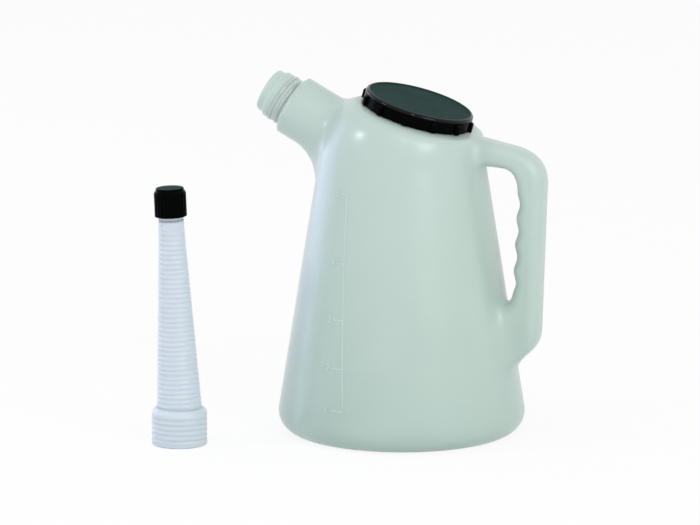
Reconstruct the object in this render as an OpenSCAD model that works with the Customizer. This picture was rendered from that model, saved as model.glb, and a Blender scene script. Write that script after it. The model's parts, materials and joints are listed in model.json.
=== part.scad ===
// Blow-moulded five litre measuring jug, with a screw lid over the filling mouth, a threaded
// pouring neck, and the capped flexible spout that screws on that neck standing beside the jug.
// Z is up, the base is centred on the origin, the handle is towards +X and the neck towards -X.

/* [Body] */
// Widest radius of the body, just above the rounded base edge
body_r = 102.8; // [96:0.2:108]
// Radius that rounds the edge of the base
base_round = 18; // [10:1:24]
// Lean of the body wall towards the axis, in degrees
wall_lean = 9.1; // [8:0.1:10]
// Height at which the wall starts to round over into the shoulder
wall_h = 234; // [228:1:240]
// Wall thickness of the whole moulding
wall = 1.8; // [1.6:0.1:2.8]

/* [Filling mouth] */
// Tilt of the mouth towards the handle, in degrees
mouth_tilt = 16; // [12:0.5:18]
// Distance of the mouth's centre from the body axis, at the ledge
mouth_x = 12.3; // [9:0.1:15]
// Height of the mouth's centre, at the ledge
ledge_z = 267; // [262:0.5:271]
// Radius of the shoulder's rounded edge round the ledge
ledge_r = 57; // [54:0.5:59]
// Outer radius of the mouth's neck
mouth_r = 42.2; // [38:0.2:43]
// Height of the mouth's neck above the ledge
mouth_h = 7.8; // [7:0.1:10]

/* [Lid] */
// Gap all round between the mouth's neck and the lid's skirt
lid_fit = 1.2; // [0.6:0.1:1.6]
// Wall of the lid's skirt
lid_wall = 2.6; // [1.8:0.1:3.2]
// Thickness of the lid's top panel
lid_panel = 2.8; // [1.6:0.1:3]
// Depth of the panel's recess inside the raised rim
lid_recess = 0.6; // [0.4:0.1:2]
// Width of the raised rim
lid_rim_w = 4; // [3:0.5:6]
// Rounding of the rim's outer edge
lid_round = 2.5; // [1:0.1:3]
// Gap between the lid's skirt and the ledge
lid_gap = 0.8; // [0.4:0.1:1.6]
// Number of grip lugs round the skirt
lug_count = 12; // [8:1:16]
// Turn of the first lug from the handle's side, in degrees
lug_turn = 6; // [0:1:29]
// Width of a grip lug
lug_w = 5; // [3:0.5:8]
// How far a grip lug stands out
lug_out = 2.3; // [1:0.1:3]
// Distance from the rim's top down to the lugs
lug_drop = 3.2; // [2.6:0.1:5]
// Thickness of the seal ring inside the lid
seal_t = 1.6; // [1:0.1:2.2]
// Gap on each flat side of a seal
seal_gap = 0.1; // [0.05:0.01:0.2]

/* [Pouring neck] */
// Slope of the pouring neck above the horizontal, in degrees
neck_tilt = 28; // [25:0.5:32]
// Distance from the body axis to the centre of the neck's step
neck_x = 96.2; // [93:0.1:99]
// Height of the centre of the neck's step
neck_z = 270.5; // [267:0.5:274]
// Outer radius of the neck below the step
neck_r = 25.8; // [24:0.1:26.5]
// Radius of the neck's threaded stretch at the thread's root
thread_r = 20.6; // [19.6:0.1:21]
// Length of the threaded stretch
thread_l = 17; // [13:0.5:19]
// Outer radius of the plain lip beyond the thread
lip_r = 18.6; // [17.6:0.1:19.2]
// Length of the lip
lip_l = 8; // [5:0.5:10]
// Radius of the pouring bore
bore_r = 15.6; // [14:0.1:16.2]
// Length of the straight neck before it flares into the body
neck_l = 17; // [14:0.5:20]
// Radius of the hollow under the neck, where it flares into the body
flare_round = 35; // [28:1:38]

/* [Handle] */
// Distance from the body axis to the outside of the grip, at its top
grip_x = 125; // [120:0.5:130]
// Depth of the grip, from its outside to a ridge between two fingers
grip_d = 22.2; // [20:0.2:27]
// Width of the grip
grip_w = 27; // [22:0.5:30]
// Height of the handle's inside at its top
grip_top = 227; // [222:0.5:230]
// Height of the handle's inside at its foot
grip_foot = 112; // [106:1:120]
// Number of finger hollows
finger_count = 4; // [3:1:5]
// Distance from one finger hollow to the next
finger_pitch = 22; // [18:0.5:24]
// Depth of a finger hollow
finger_depth = 2.6; // [1:0.1:4]

/* [Litre scale] */
// Number of litre marks
mark_count = 5; // [3:1:5]
// Width of the raised lines
mark_w = 1.2; // [0.8:0.1:2]
// Height of the raised lines above the wall
mark_h = 0.5; // [0.3:0.1:0.8]
// Length of a litre mark
mark_l = 13; // [8:0.5:18]
// Turn of the scale line from +X at the first mark, in degrees
scale_low = -100; // [-104:0.5:-98]
// Turn of the scale line from +X at the last mark, in degrees
scale_high = -110; // [-112:0.5:-106]

/* [Flexible spout] */
// Distance of the standing spout from the jug's axis
spout_away = 191.5; // [170:0.5:240]
// Direction of the standing spout from the jug's axis, in degrees
spout_turn = 215.3; // [200:0.1:230]
// Gap between the neck's thread and the collar's bore
collar_fit = 1.2; // [0.8:0.1:1.4]
// Wall of the spout's collar and tube
spout_wall = 1.3; // [1:0.1:1.6]
// Height of the collar, up to its rounded shoulder
collar_h = 25; // [24:0.5:30]
// Height of the rounded shoulder above the collar
dome_h = 6.5; // [5:0.5:8]
// Outer radius of the tube at its foot
tube_foot_r = 18.8; // [17.6:0.1:19.4]
// Outer radius of the tube at its tip
tube_tip_r = 10.4; // [9.8:0.1:10.8]
// Length of the tube from the shoulder to the tip's thread
tube_l = 159.2; // [140:0.2:180]
// Distance from one corrugation to the next
ring_pitch = 4; // [3.4:0.1:5]
// Depth of a corrugation
ring_depth = 0.8; // [0.4:0.05:1]
// Lean of the standing tube, in degrees
tube_lean = 2.2; // [0:0.2:4]
// Direction in which the standing tube leans, in degrees
lean_turn = 199.5; // [180:0.5:220]
// Length of the tip that the cap covers
tip_l = 21.2; // [16:0.2:22]
// Gap between the tip and the cap's bore
cap_fit = 0.5; // [0.4:0.1:1.2]
// Wall of the cap
cap_wall = 1.9; // [1.4:0.1:2.4]
// Number of grip ribs round the cap
rib_count = 24; // [16:1:32]
// How far a grip rib stands out
rib_out = 0.7; // [0.4:0.1:1]
// Height of the plain band at the cap's top
cap_band = 3; // [2:0.5:5]
// Thickness of the cap's liner disc
liner_t = 1.2; // [0.8:0.1:1.6]

/* [Hidden] */

$fn = 96;
milk = [0.83, 0.88, 0.85];
ice = [0.80, 0.85, 0.90];
black = [0.05, 0.05, 0.05];
grey = [0.45, 0.45, 0.45];

// How far a cutter passes through the face that it opens
cut = 1;
// How far the shoulder's foot stands in from the top edge of the wall
seat = 0.3;
// How much lower the scale's long line is than its marks
line_drop = 0.1;
// Steps along a rounded stretch, and points round a lofted ring
steps = 6;
round_n = 48;
grip_n = 20;
grip_square = 2.6;

// A point on the quadratic curve from a to c, drawn towards b
function curve(a, b, c, t) = (1 - t) * (1 - t) * a + 2 * t * (1 - t) * b + t * t * c;

// A point on the circle of radius r about c, at angle a
function spoke(c, r, a) = c + r * [cos(a), sin(a)];

// Cosine and sine drawn out towards a rounded square, for a ring's section
function squared(v, power) = sign(v) * pow(abs(v), 2 / power);

// Closed solid through a list of rings that all have the same number of points
module loft(rings) {
    n = len(rings[0]);
    last = len(rings) - 1;
    sides = [for (k = [0 : last - 1], i = [0 : n - 1])
        let (j = (i + 1) % n, a = k * n + i, b = k * n + j, c = a + n, d = b + n)
        each [[a, c, b], [b, c, d]]];
    ends = [[for (i = [0 : n - 1]) i], [for (i = [n - 1 : -1 : 0]) last * n + i]];
    polyhedron([for (ring = rings, p = ring) p], concat(ends, sides));
}

// The body's own outline, drawn in by inset for the cavity

function round_x() = body_r - base_round;
function wall_start(inset) = spoke([round_x(), base_round], base_round - inset, wall_lean);
function wall_r(z, inset = 0) =
    wall_start(inset)[0] - (z - wall_start(inset)[1]) * tan(wall_lean);

module barrel(inset, top) {
    edge = [for (k = [0 : steps])
        spoke([round_x(), base_round], base_round - inset, -90 + k * (90 + wall_lean) / steps)];
    rotate_extrude()
        polygon(concat([[0, inset]], edge, [[wall_r(top, inset), top], [0, top]]));
}

// A ring of the shoulder: centre x, centre z, tilt and radius
function tilted_ring(v, n = round_n) = [for (i = [0 : n - 1]) let (a = 360 * i / n)
    [v[0] + v[3] * cos(a) * cos(v[2]), v[3] * sin(a), v[1] - v[3] * cos(a) * sin(v[2])]];

function shoulder_ring(t, inset) =
    let (low = [0, wall_h, 0, wall_r(wall_h, inset) - seat],
        corner = [mouth_x / 6, wall_h + 18 - inset, mouth_tilt / 4, wall_r(wall_h + 14, inset)],
        middle = [mouth_x * 0.57, ledge_z - 6.5 - inset, mouth_tilt * 0.62, ledge_r + 4 - inset],
        edge = [mouth_x, ledge_z - inset, mouth_tilt, ledge_r - inset],
        ledge = [mouth_x, ledge_z - inset, mouth_tilt, mouth_r + 3])
    t < 1 ? curve(low, corner, middle, t) : curve(middle, edge, ledge, t - 1);

module shoulder(inset) {
    foot = [0, wall_h - cut, 0, wall_r(wall_h, inset) - 2 * seat];
    loft(concat([tilted_ring(foot)],
        [for (k = [0 : 2 * steps]) tilted_ring(shoulder_ring(k / steps, inset))]));
}

// Placed on the mouth's axis, with the ledge at height 0
module at_mouth() {
    translate([mouth_x, 0, ledge_z]) rotate([0, mouth_tilt, 0]) children();
}

// Placed on the pouring neck's axis, pointing out of the mouth, with the step at height 0
module at_neck() {
    translate([-neck_x, 0, neck_z]) rotate([0, neck_tilt - 90, 0]) children();
}

// Under the neck a bend turns down into the body wall, and ends just inside it

flare_turn = 90 - neck_tilt + wall_lean + 5;
neck_deep = 60;

module flare(inset) {
    bend_r = neck_r + flare_round;
    at_neck() {
        translate([0, 0, -neck_l - neck_deep]) cylinder(r = neck_r - inset, h = neck_deep + cut);
        translate([-bend_r, 0, -neck_l]) rotate([90, 0, 0]) rotate([0, 0, -flare_turn])
            rotate_extrude(angle = flare_turn) translate([bend_r, 0]) circle(neck_r - inset);
    }
}

module neck_outside() {
    at_neck() {
        rotate_extrude() polygon([
            [0, -neck_l], [neck_r, -neck_l], [neck_r, -1.5], [neck_r - 1.5, 0], [thread_r, 0],
            [thread_r, thread_l], [lip_r + 0.6, thread_l + 1], [lip_r, thread_l + 2],
            [lip_r - 0.4, thread_l + lip_l - 1.5], [lip_r - 1.5, thread_l + lip_l],
            [0, thread_l + lip_l]]);
    }
}

module neck_inside() {
    at_neck() {
        translate([0, 0, -wall]) cylinder(r = bore_r, h = thread_l + lip_l + wall + cut);
        translate([0, 0, -neck_l]) cylinder(r = neck_r - wall, h = neck_l - wall);
    }
}

// The handle in side view: the ends of its outside and inside, stretch by stretch

grip_in = grip_x - grip_d;
grip_lean = 4.2;
finger_top = grip_top - 17.5;
finger_low = grip_foot + 9;
finger_steps = 6;
root_spread = 7;
root_out = [46, ledge_z - 11];
root_in = [50, grip_top + 4];
bend_out = [grip_x - 29, grip_top + 19.2];
bend_in = [grip_in - 18, grip_top + 0.5];
grip_out_top = [grip_x, finger_top + 4];
grip_out_low = [grip_x - grip_lean, grip_foot - 20];
foot_out = [92, grip_foot - 51];
foot_in = [76, grip_foot - 20];

function finger(t) =
    let (turns = t * (finger_top - finger_low) / finger_pitch)
    turns > finger_count ? 0 : finger_depth * (1 - cos(360 * turns)) / 2;

// Outside point, inside point and half width of the handle, at part t of a stretch
function handle_station(stretch, t) =
    let (w = grip_w / 2)
    stretch == 0 ? [root_out + t * (bend_out - root_out), root_in + t * (bend_in - root_in),
        w + root_spread * pow(1 - t, 2)] :
    stretch == 1 ? [curve(bend_out, [grip_x + 1.5, grip_top + 13.5], grip_out_top, t),
        curve(bend_in, [grip_in - 1, grip_top - 0.5], [grip_in, finger_top], t), w] :
    stretch == 2 ? [grip_out_top + t * (grip_out_low - grip_out_top),
        [grip_in + finger(t) - t * grip_lean, finger_top + t * (finger_low - finger_top)], w] :
    [curve(grip_out_low, [grip_x - 5.5, grip_foot - 39], foot_out, t),
        curve([grip_in - grip_lean, finger_low], [grip_in - 8, grip_foot - 2], foot_in, t),
        w + root_spread * t * t];

// One ring of the handle, a rounded square between the two points
function grip_ring(station, inset) =
    let (o = station[0], i = station[1], mid = (o + i) / 2, half = norm(o - i) / 2,
        along = (o - i) / norm(o - i), a = half - inset, b = station[2] - inset)
    [for (k = [0 : grip_n - 1]) let (t = 360 * k / grip_n,
            u = a * squared(cos(t), grip_square), v = -b * squared(sin(t), grip_square))
        [mid[0] + along[0] * u, v, mid[1] + along[1] * u]];

module handle(inset) {
    counts = [3, steps, finger_count * finger_steps, steps + 1];
    loft([for (stretch = [0 : 3], k = [0 : counts[stretch] - (stretch == 3 ? 0 : 1)])
        grip_ring(handle_station(stretch, k / counts[stretch]), inset)]);
}

// Litres held up to height z: the cone of the wall, less what the rounded base edge takes away
function litres(z) =
    let (low = wall_r(0, wall), high = wall_r(z, wall), edge = base_round - wall)
    (PI * (z - wall) * (low * low + low * high + high * high) / 3
        - (1 - PI / 4) * edge * edge * 2 * PI * (low - edge / 4)) / 1e6;

// The height at which a volume is held
function level(volume, low = 0, high = wall_h, left = 24) =
    left == 0 ? low : let (mid = (low + high) / 2)
    litres(mid) < volume ? level(volume, mid, high, left - 1) : level(volume, low, mid, left - 1);

function scale_turn(z) =
    let (low = level(1), high = level(mark_count))
    scale_low + (scale_high - scale_low) * (z - low) / (high - low);

// A raised strip on the wall, across it from turn a to b at height z
module raised_arc(z, a, b) {
    rotate([0, 0, a]) rotate_extrude(angle = b - a) polygon([
        [wall_r(z) - wall / 2, z - mark_w / 2], [wall_r(z - mark_w / 2) + mark_h, z - mark_w / 2],
        [wall_r(z + mark_w / 2) + mark_h, z + mark_w / 2], [wall_r(z) - wall / 2, z + mark_w / 2]]);
}

module litre_scale() {
    low = level(1);
    high = level(mark_count);
    pieces = 2 * mark_count;
    for (k = [1 : mark_count]) {
        z = level(k);
        raised_arc(z, scale_turn(z) - mark_l / wall_r(z) * 180 / PI, scale_turn(z));
    }
    for (k = [0 : pieces - 1]) {
        z0 = low + (high - low) * k / pieces;
        z1 = low + (high - low) * (k + 1) / pieces;
        half = mark_w / 2 / wall_r(z0) * 180 / PI;
        rotate([0, 0, scale_turn((z0 + z1) / 2) - half]) rotate_extrude(angle = 2 * half) polygon([
            [wall_r(z0) - wall / 3, z0], [wall_r(z0) + mark_h - line_drop, z0],
            [wall_r(z1) + mark_h - line_drop, z1], [wall_r(z1) - wall / 3, z1]]);
    }
}

module jug_body() {
    color(milk) difference() {
        union() {
            barrel(0, wall_h);
            shoulder(0);
            flare(0);
            neck_outside();
            handle(0);
            at_mouth() translate([0, 0, -wall]) cylinder(r = mouth_r, h = mouth_h + wall);
            litre_scale();
        }
        barrel(wall, wall_h);
        shoulder(wall);
        flare(wall);
        neck_inside();
        handle(wall);
        at_mouth() translate([0, 0, -4 * wall]) cylinder(r = mouth_r - wall, h = mouth_h + 5 * wall);
    }
}

// The lid, with its heights measured from the ledge

lid_in = mouth_r + lid_fit;
lid_r = lid_in + lid_wall;
seal_low = mouth_h + seal_gap;
panel_low = seal_low + seal_t + seal_gap;
lid_top = panel_low + lid_panel + lid_recess;

module lug() {
    translate([0, lug_w / 2, lid_gap]) rotate([90, 0, 0]) linear_extrude(lug_w) polygon([
        [lid_r - lid_wall / 2, 0], [lid_r + lug_out, 0],
        [lid_r + lug_out, lid_top - lid_gap - lug_drop - lug_out],
        [lid_r, lid_top - lid_gap - lug_drop], [lid_r - lid_wall / 2, lid_top - lid_gap - lug_drop]]);
}

module lid() {
    rim = [for (k = [0 : steps]) spoke([lid_r - lid_round, lid_top - lid_round], lid_round, k * 90 / steps)];
    color(black) at_mouth() union() {
        rotate_extrude() polygon(concat(
            [[0, panel_low], [lid_in, panel_low], [lid_in, lid_gap], [lid_r, lid_gap]],
            rim,
            [[lid_r - lid_rim_w, lid_top], [lid_r - lid_rim_w - 2 * lid_recess, lid_top - lid_recess],
                [0, lid_top - lid_recess]]));
        for (k = [0 : lug_count - 1]) rotate([0, 0, lug_turn + k * 360 / lug_count]) lug();
    }
}

module lid_seal() {
    color(grey) at_mouth() translate([0, 0, seal_low]) difference() {
        cylinder(r = lid_in - seal_gap, h = seal_t);
        translate([0, 0, -cut]) cylinder(r = mouth_r - 2 * wall, h = seal_t + 2 * cut);
    }
}

// The flexible spout, its heights measured from the surface that it stands on

collar_in = thread_r + collar_fit;
collar_r = collar_in + spout_wall;
tube_z = collar_h + dome_h;
ring_count = floor(tube_l / ring_pitch) - 1;
tip_in = tube_tip_r - spout_wall - ring_depth;

module at_spout() {
    rotate([0, 0, spout_turn]) translate([spout_away, 0, 0]) rotate([0, 0, -spout_turn]) children();
}

// Placed on the leaning tube's axis, with the shoulder's top at height 0
module at_tube() {
    at_spout() translate([0, 0, tube_z]) rotate([0, 0, lean_turn]) rotate([0, tube_lean, 0]) children();
}

function tube_r(z) = tube_foot_r + (tube_tip_r - tube_foot_r) * z / tube_l;

// Outline of the corrugated tube, drawn in by inset for the bore
function tube_side(inset) = [for (k = [0 : ring_count - 1], j = [0 : 3])
    let (z = (k + [0.1, 0.4, 0.6, 0.9][j]) * ring_pitch)
    [tube_r(z) - inset - [ring_depth, 0, 0, ring_depth][j], z]];

module tube_outside() {
    rotate_extrude() polygon(concat(
        [[0, -dome_h / 2], [tube_foot_r - ring_depth, -dome_h / 2]], tube_side(0),
        [[tube_tip_r, tube_l - 1], [tube_tip_r, tube_l + tip_l], [0, tube_l + tip_l]]));
}

module tube_inside() {
    rotate_extrude() polygon(concat(
        [[0, -dome_h], [tube_foot_r - ring_depth - spout_wall, -dome_h]], tube_side(spout_wall),
        [[tip_in, tube_l - 1], [tip_in, tube_l + tip_l + cut], [0, tube_l + tip_l + cut]]));
}

module collar_shape(inset) {
    foot = inset > 0 ? -cut : 0;
    edge = inset > 0 ? 0 : 1.5;
    dome = [for (k = [0 : steps]) let (a = k * 80 / steps)
        [tube_foot_r - 2 - inset + (collar_r - tube_foot_r + 2) * cos(a), collar_h + (dome_h - inset) * sin(a)]];
    rotate_extrude() polygon(concat(
        [[0, foot], [collar_r - inset - edge, foot], [collar_r - inset, edge]], dome,
        [[0, collar_h + dome_h - inset]]));
}

module flex_spout() {
    color(ice) difference() {
        union() {
            at_spout() collar_shape(0);
            at_tube() tube_outside();
        }
        at_spout() collar_shape(spout_wall);
        at_tube() tube_inside();
    }
}

// The cap, its heights measured along the tube from the shoulder

cap_in = tube_tip_r + cap_fit;
cap_r = cap_in + cap_wall;
cap_low = tube_l + 0.6;
liner_low = tube_l + tip_l + seal_gap;
cap_under = liner_low + liner_t + seal_gap;
cap_top = cap_under + cap_wall;

module spout_cap() {
    color(black) at_tube() union() {
        rotate_extrude() polygon([
            [0, cap_under], [cap_in, cap_under], [cap_in, cap_low], [cap_r, cap_low],
            [cap_r, cap_top - cap_band], [cap_r - 1, cap_top - cap_band + 0.6],
            [cap_r - 1, cap_top - 1], [cap_r - 2, cap_top], [0, cap_top]]);
        for (k = [0 : rib_count - 1]) rotate([0, 0, k * 360 / rib_count])
            translate([cap_r, 0, cap_low]) cylinder(r = rib_out, h = cap_top - cap_band - cap_low - 0.6, $fn = 24);
    }
}

module spout_cap_liner() {
    color(grey) at_tube() translate([0, 0, liner_low]) cylinder(r = cap_in - seal_gap, h = liner_t);
}

jug_body();
lid();
lid_seal();
flex_spout();
spout_cap();
spout_cap_liner();
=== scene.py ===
# Milky plastic measuring jug with a black screw lid, and its flexible pouring spout beside it.
# Sizes are in millimetres and angles in degrees until a mesh is made.
import json
import math

import bpy
import numpy as np
from mathutils import Matrix, Vector


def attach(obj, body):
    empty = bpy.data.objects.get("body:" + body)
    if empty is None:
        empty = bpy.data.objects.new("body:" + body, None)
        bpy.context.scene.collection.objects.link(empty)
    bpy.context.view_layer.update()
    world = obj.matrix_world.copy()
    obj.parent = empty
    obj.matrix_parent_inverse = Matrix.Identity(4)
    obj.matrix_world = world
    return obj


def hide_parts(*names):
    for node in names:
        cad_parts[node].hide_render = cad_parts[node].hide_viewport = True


mm = 0.001
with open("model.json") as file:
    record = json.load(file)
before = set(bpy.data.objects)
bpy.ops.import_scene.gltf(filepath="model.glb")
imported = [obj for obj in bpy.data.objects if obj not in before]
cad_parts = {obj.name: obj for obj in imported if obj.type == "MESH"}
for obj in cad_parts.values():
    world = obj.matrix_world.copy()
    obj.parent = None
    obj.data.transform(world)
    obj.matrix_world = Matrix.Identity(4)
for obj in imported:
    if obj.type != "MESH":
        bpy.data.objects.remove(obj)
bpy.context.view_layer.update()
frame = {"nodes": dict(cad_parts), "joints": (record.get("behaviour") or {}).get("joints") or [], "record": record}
joints = {joint["name"]: joint for joint in frame["joints"]}
mounts = {mount["name"]: mount for mount in frame["record"]["mounts"]}
print("frame loaded:", ", ".join(sorted(frame["nodes"])))


# Working frames

def unit(vector):
    vector = np.array(vector, float)
    return vector / np.linalg.norm(vector)


class Place:
    # across and side lie square to the axis; across leans towards +X

    def __init__(self, origin, axis):
        self.origin = np.array(origin, float)
        self.axis = unit(axis)
        self.side = unit(np.cross(self.axis, (1, 0, 0)))
        self.across = np.cross(self.side, self.axis)

    def put(self, points):
        return self.origin + np.asarray(points, float) @ np.array([self.across, self.side, self.axis])

    def measure(self, x, y, z):
        dx, dy, dz = x - self.origin[0], y - self.origin[1], z - self.origin[2]
        return [dx * v[0] + dy * v[1] + dz * v[2] for v in (self.across, self.side, self.axis)]


def jointPlace(name):
    return Place(np.array(joints[name]["pos_m"]) / mm, joints[name]["axis"])


def mountPlace(name, back):
    # back is how far the place lies behind the mount's own point
    axis = unit(mounts[name]["axis"])
    return Place(np.array(mounts[name]["pos_m"]) / mm - axis * back, axis)


mouthPlace = jointPlace("lid_turn")
tubePlace = jointPlace("cap_turn")
neckPlace = mountPlace("pour_bore", 12)
collarPlace = Place((*tubePlace.origin[:2], 0), (0, 0, 1))


# Mesh parts are (points, faces) pairs, joined into one piece at the end

def joinParts(parts):
    points, faces, start = [], [], 0
    for some, own in parts:
        points.append(np.asarray(some, float))
        faces += [[start + i for i in face] for face in own]
        start += len(some)
    return np.vstack(points), faces


def ringFaces(rings, sides, closeRings=False, closeSides=True):
    faces = []
    for k in range(rings if closeRings else rings - 1):
        for i in range(sides if closeSides else sides - 1):
            j, n = (i + 1) % sides, (k + 1) % rings
            faces.append([k * sides + i, k * sides + j, n * sides + j, n * sides + i])
    return faces


def revolve(profile, place, sides=144):
    # A closed profile of (radius, height) points, turned round the place's axis; it runs anticlockwise
    turn = np.arange(sides) * 2 * math.pi / sides
    points = [[r * c, r * s, h] for r, h in profile for c, s in zip(np.cos(turn), np.sin(turn))]
    return place.put(points), ringFaces(len(profile), sides, closeRings=True)


def revolveDisc(profile, place, sides=144):
    # An open profile that starts and ends on the axis, closed there by small discs
    turn = np.arange(sides) * 2 * math.pi / sides
    inner = [(max(r, 0.02), h) for r, h in profile]
    points = [[r * c, r * s, h] for r, h in inner for c, s in zip(np.cos(turn), np.sin(turn))]
    faces = ringFaces(len(profile), sides)
    faces.append(list(range(sides))[::-1])
    faces.append([(len(profile) - 1) * sides + i for i in range(sides)])
    return place.put(points), faces


def roundCorners(corners, arcSteps=6, closed=True):
    # Corners are (radius, height, rounding); each rounded one becomes an arc
    found = []
    count = len(corners)
    for k, (x, y, rounding) in enumerate(corners):
        here = np.array([x, y], float)
        if rounding <= 0 or (not closed and k in (0, count - 1)):
            found.append((x, y))
            continue
        before = unit(np.array(corners[k - 1][:2], float) - here)
        after = unit(np.array(corners[(k + 1) % count][:2], float) - here)
        half = math.acos(max(-1, min(1, float(before @ after)))) / 2
        reach = rounding / math.tan(half)
        centre = here + unit(before + after) * rounding / math.sin(half)
        first, last = here + before * reach - centre, here + after * reach - centre
        for t in np.linspace(0, 1, arcSteps + 1):
            found.append(tuple(centre + unit(first * (1 - t) + last * t) * rounding))
    return found


def addPiece(name, parts, materials, body, replaced=(), faceMaterial=None):
    points, faces = joinParts(parts)
    mesh = bpy.data.meshes.new(name)
    mesh.from_pydata((points * mm).tolist(), [], faces)
    mesh.validate()
    mesh.update()
    mesh.shade_smooth()
    for material in materials:
        mesh.materials.append(material)
    if faceMaterial is not None:
        for polygon in mesh.polygons:
            polygon.material_index = faceMaterial(np.array(polygon.center) / mm)
    piece = bpy.data.objects.new(name, mesh)
    bpy.context.scene.collection.objects.link(piece)
    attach(piece, body)
    if replaced:
        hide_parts(*replaced)
    print("piece", name, "has", len(faces), "faces")
    return piece


# Node trees: numbers are written as Python expressions

class Num:
    def __init__(self, maker, socket):
        self.maker = maker
        self.socket = socket

    def __add__(self, other):
        return self.maker.math("ADD", self, other)

    def __sub__(self, other):
        return self.maker.math("SUBTRACT", self, other)

    def __rsub__(self, other):
        return self.maker.math("SUBTRACT", other, self)

    def __mul__(self, other):
        return self.maker.math("MULTIPLY", self, other)

    def __truediv__(self, other):
        return self.maker.math("DIVIDE", self, other)

    __radd__ = __add__
    __rmul__ = __mul__


class Maker:
    def __init__(self, tree):
        self.tree = tree

    def add(self, kind, settings=None, values=None):
        node = self.tree.nodes.new(kind)
        for key, value in (settings or {}).items():
            if key == "stops":
                self.setStops(node.color_ramp, value)
            else:
                setattr(node, key, value)
        for key, value in (values or {}).items():
            if isinstance(value, Num):
                value = value.socket
            if isinstance(value, bpy.types.NodeSocket):
                self.tree.links.new(value, node.inputs[key])
            else:
                node.inputs[key].default_value = value
        return node

    def setStops(self, ramp, stops):
        while len(ramp.elements) < len(stops):
            ramp.elements.new(0.5)
        for element, (position, colour) in zip(ramp.elements, stops):
            element.position = position
            element.color = (*colour, 1)

    def math(self, operation, *values):
        return self.num("ShaderNodeMath", {"operation": operation}, dict(enumerate(values)))

    def num(self, kind, settings=None, values=None, output=0):
        return Num(self, self.add(kind, settings, values).outputs[output])


# Shapes made by geometry nodes, then baked to plain parts

def shapeTree(name, inputs):
    tree = bpy.data.node_groups.new(name, "GeometryNodeTree")
    for label in inputs:
        kind = "NodeSocketInt" if label.endswith("Count") else "NodeSocketFloat"
        tree.interface.new_socket(name=label, in_out="INPUT", socket_type=kind)
    tree.interface.new_socket(name="Material", in_out="INPUT", socket_type="NodeSocketMaterial")
    tree.interface.new_socket(name="Geometry", in_out="OUTPUT", socket_type="NodeSocketGeometry")
    maker = Maker(tree)
    entry = maker.add("NodeGroupInput")
    sizes = {label: Num(maker, entry.outputs[label]) for label in inputs}
    return maker, sizes, entry.outputs["Material"]


def closeTree(maker, geometry, material):
    real = maker.add("GeometryNodeRealizeInstances", None, {0: geometry})
    done = maker.add("GeometryNodeSetMaterial", None, {0: real.outputs[0], "Material": material})
    maker.add("NodeGroupOutput", None, {0: done.outputs[0]})


def bakeObject(holder):
    # The points and faces that an object shows; the object itself is removed
    graph = bpy.context.evaluated_depsgraph_get()
    mesh = bpy.data.meshes.new_from_object(holder.evaluated_get(graph))
    points = np.array([v.co for v in mesh.vertices]).reshape(-1, 3)
    faces = [list(polygon.vertices) for polygon in mesh.polygons]
    bpy.data.objects.remove(holder)
    bpy.data.meshes.remove(mesh)
    return points, faces


def bakeTree(tree, values, material, finish=()):
    # finish holds (modifier type, settings) pairs that follow the tree
    holder = bpy.data.objects.new(tree.name, bpy.data.meshes.new(tree.name))
    bpy.context.scene.collection.objects.link(holder)
    shaping = holder.modifiers.new("shape", "NODES")
    shaping.node_group = tree
    for item in tree.interface.items_tree:
        if item.in_out == "INPUT":
            shaping[item.identifier] = material if item.name == "Material" else values[item.name]
    for kind, settings in finish:
        modifier = holder.modifiers.new(kind.lower(), kind)
        for key, value in settings.items():
            setattr(modifier, key, value)
    return bakeObject(holder)


def blockRingTree():
    # Equal blocks round a circle: lugs on the lid and ribs on the cap
    maker, size, material = shapeTree("blockRing", ["blockCount", "radius", "width", "depth", "low",
                                                    "high", "slope", "phase"])
    tall = size["high"] - size["low"]
    extent = maker.num("ShaderNodeCombineXYZ", None, {0: size["depth"], 1: size["width"], 2: tall})
    block = maker.add("GeometryNodeMeshCube", None, {"Size": extent})
    at = maker.add("GeometryNodeInputPosition")
    part = maker.add("ShaderNodeSeparateXYZ", None, {0: at.outputs[0]})
    isOuter = maker.math("GREATER_THAN", Num(maker, part.outputs[0]), 0)
    isTop = maker.math("GREATER_THAN", Num(maker, part.outputs[2]), 0)
    fall = maker.num("ShaderNodeCombineXYZ", None, {2: isOuter * isTop * size["slope"] * -1})
    sloped = maker.add("GeometryNodeSetPosition", None, {0: block.outputs["Mesh"], "Offset": fall})
    circle = maker.add("GeometryNodeMeshCircle", None,
                       {"Vertices": size["blockCount"], "Radius": size["radius"]})
    outward = maker.add("FunctionNodeAlignRotationToVector", {"axis": "X"},
                        {"Vector": maker.add("GeometryNodeInputPosition").outputs[0]})
    rings = maker.add("GeometryNodeInstanceOnPoints", None,
                      {"Points": circle.outputs[0], "Instance": sloped.outputs[0],
                       "Rotation": outward.outputs[0]})
    height = (size["high"] + size["low"]) / 2
    turned = maker.add("GeometryNodeTransform", None,
                       {0: rings.outputs[0],
                        "Translation": maker.num("ShaderNodeCombineXYZ", None, {2: height}),
                        "Rotation": maker.num("ShaderNodeCombineXYZ", None, {2: size["phase"]})})
    closeTree(maker, turned.outputs[0], material)
    return maker.tree


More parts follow.
